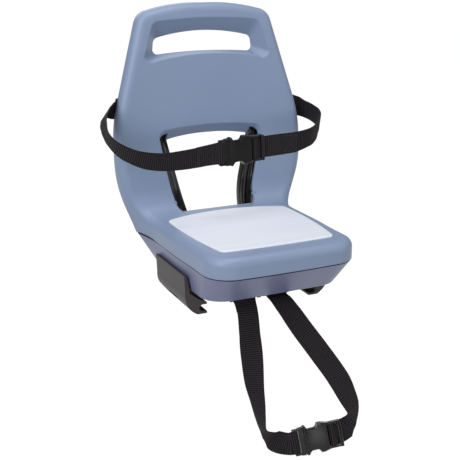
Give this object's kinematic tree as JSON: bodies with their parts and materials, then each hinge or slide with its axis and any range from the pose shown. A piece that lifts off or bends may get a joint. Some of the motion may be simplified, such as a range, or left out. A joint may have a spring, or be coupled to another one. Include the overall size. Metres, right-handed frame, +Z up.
{
  "type": "child bike seat",
  "caption": "Moulded child seat for a bicycle luggage carrier, with open backrest, thin pad, waist belt, lower strap loop and clamp jaws that grip the carrier rails.",
  "frame": {"origin": "centre of the clamp housing's contact plane, in the middle between the jaws", "axes": "+Z up, +Y towards the backrest, +X to the right seen from the front"},
  "size_m": [0.3551, 0.3306, 0.5842],
  "materials": {
    "seat_plastic": "satin moulded",
    "tray_plastic": "satin moulded",
    "pad_cover": "fine ribbed",
    "black_gloss": "gloss",
    "black_plastic": "satin",
    "webbing": "woven",
    "steel": "zinc plated"
  },
  "bodies": {
    "seat": {"anchor_plate_left": "black_plastic", "anchor_plate_right": "black_plastic", "anchor_screw_left_lower": "steel", "anchor_screw_left_upper": "steel", "anchor_screw_right_lower": "steel", "anchor_screw_right_upper": "steel", "base_screw_front_left": "steel", "base_screw_front_right": "steel", "base_screw_rear_left": "steel", "base_screw_rear_right": "steel", "base_tray": "tray_plastic", "bracket_screw_left": "steel", "bracket_screw_right": "steel", "clamp_housing": "black_plastic", "clamp_spindle": "steel", "housing_screw_front_left": "steel", "housing_screw_front_right": "steel", "housing_screw_rear_left": "steel", "housing_screw_rear_right": "steel", "left_strut": "black_gloss", "left_strut_screw_lower": "steel", "left_strut_screw_upper": "steel", "lower_buckle_socket": "black_plastic", "lower_strap_left": "webbing", "lower_strap_right": "webbing", "right_strut": "black_gloss", "right_strut_screw_lower": "steel", "right_strut_screw_upper": "steel", "seat_pad": "pad_cover", "seat_shell": "seat_plastic", "strap_bracket": "black_plastic", "waist_buckle_socket": "black_plastic", "waist_strap_left": "webbing", "waist_strap_right": "webbing"},
    "waist_tongue": {"waist_buckle_tongue": "black_plastic"},
    "lower_tongue": {"lower_buckle_tongue": "black_plastic"},
    "left_jaw_body": {"left_jaw": "black_plastic", "left_nut": "steel"},
    "right_jaw_body": {"right_jaw": "black_plastic", "right_nut": "steel"}
  },
  "joints": [
    {"name": "waist_buckle_release", "type": "slide", "parent": "seat", "child": "waist_tongue", "axis": [-0.9986, 0, -0.0526], "range_m": [0, 0.03], "deforming": ["waist_strap_left"]},
    {"name": "lower_buckle_release", "type": "slide", "parent": "seat", "child": "lower_tongue", "axis": [-0.9636, 0.2299, -0.1364], "range_m": [0, 0.03], "deforming": ["lower_strap_left"]},
    {"name": "right_jaw_slide", "type": "slide", "parent": "seat", "child": "right_jaw_body", "axis": [1, 0, 0], "range_m": [0, 0.012]},
    {"name": "left_jaw_slide", "type": "slide", "parent": "seat", "child": "left_jaw_body", "axis": [-1, 0, 0], "range_m": [0, 0.012]}
  ],
  "couplings": [
    {"joint": "left_jaw_slide", "follows": "right_jaw_slide", "ratio": 1}
  ]
}
